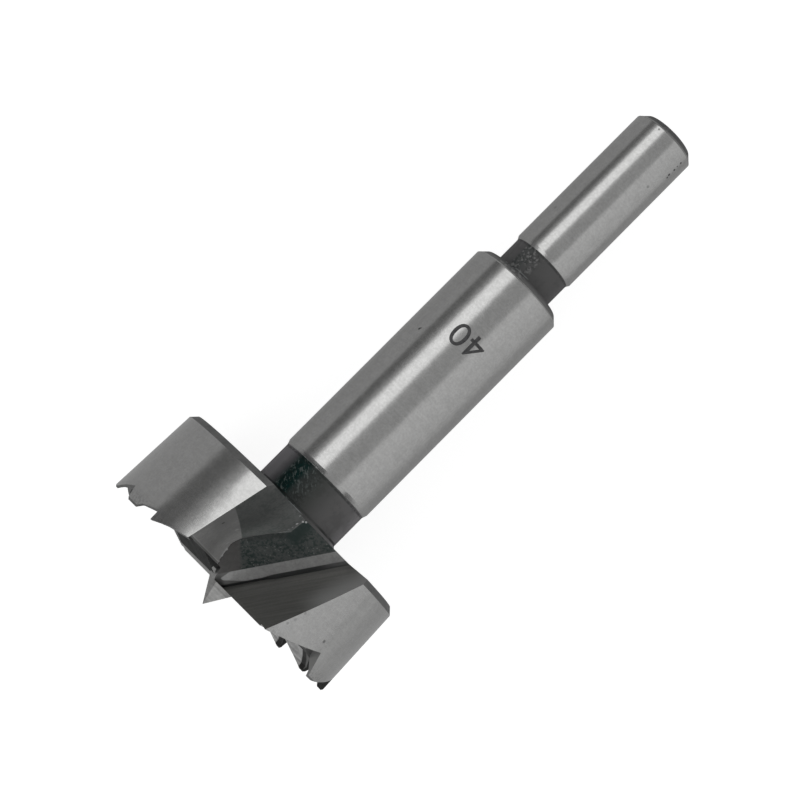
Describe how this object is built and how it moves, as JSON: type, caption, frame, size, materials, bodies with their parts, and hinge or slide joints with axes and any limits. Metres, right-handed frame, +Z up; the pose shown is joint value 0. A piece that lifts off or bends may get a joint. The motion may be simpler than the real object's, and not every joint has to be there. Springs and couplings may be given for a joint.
{
  "type": "forstner bit",
  "caption": "Sawtooth forstner bit: two-lobed cutting head with radial lips, rim teeth, slanted chip gullets and a square centre point, on a stepped round shank",
  "frame": {"origin": "middle of the bounding box in X and Y, at the surface it lies on", "axes": "the bit lies on one gullet: +X runs from the centre point towards the shank and the axis falls 9.4 degrees that way, +Z is up, and +Y completes the right-handed frame"},
  "size_m": [0.0919, 0.04, 0.0386],
  "materials": {
    "tool_steel": "fine-ground rim, hub and shank end; dark forged scale in the gullets, on the necks and on the head's shank side"
  },
  "bodies": {
    "root": {"forstner_bit": "tool_steel"}
  },
  "joints": []
}
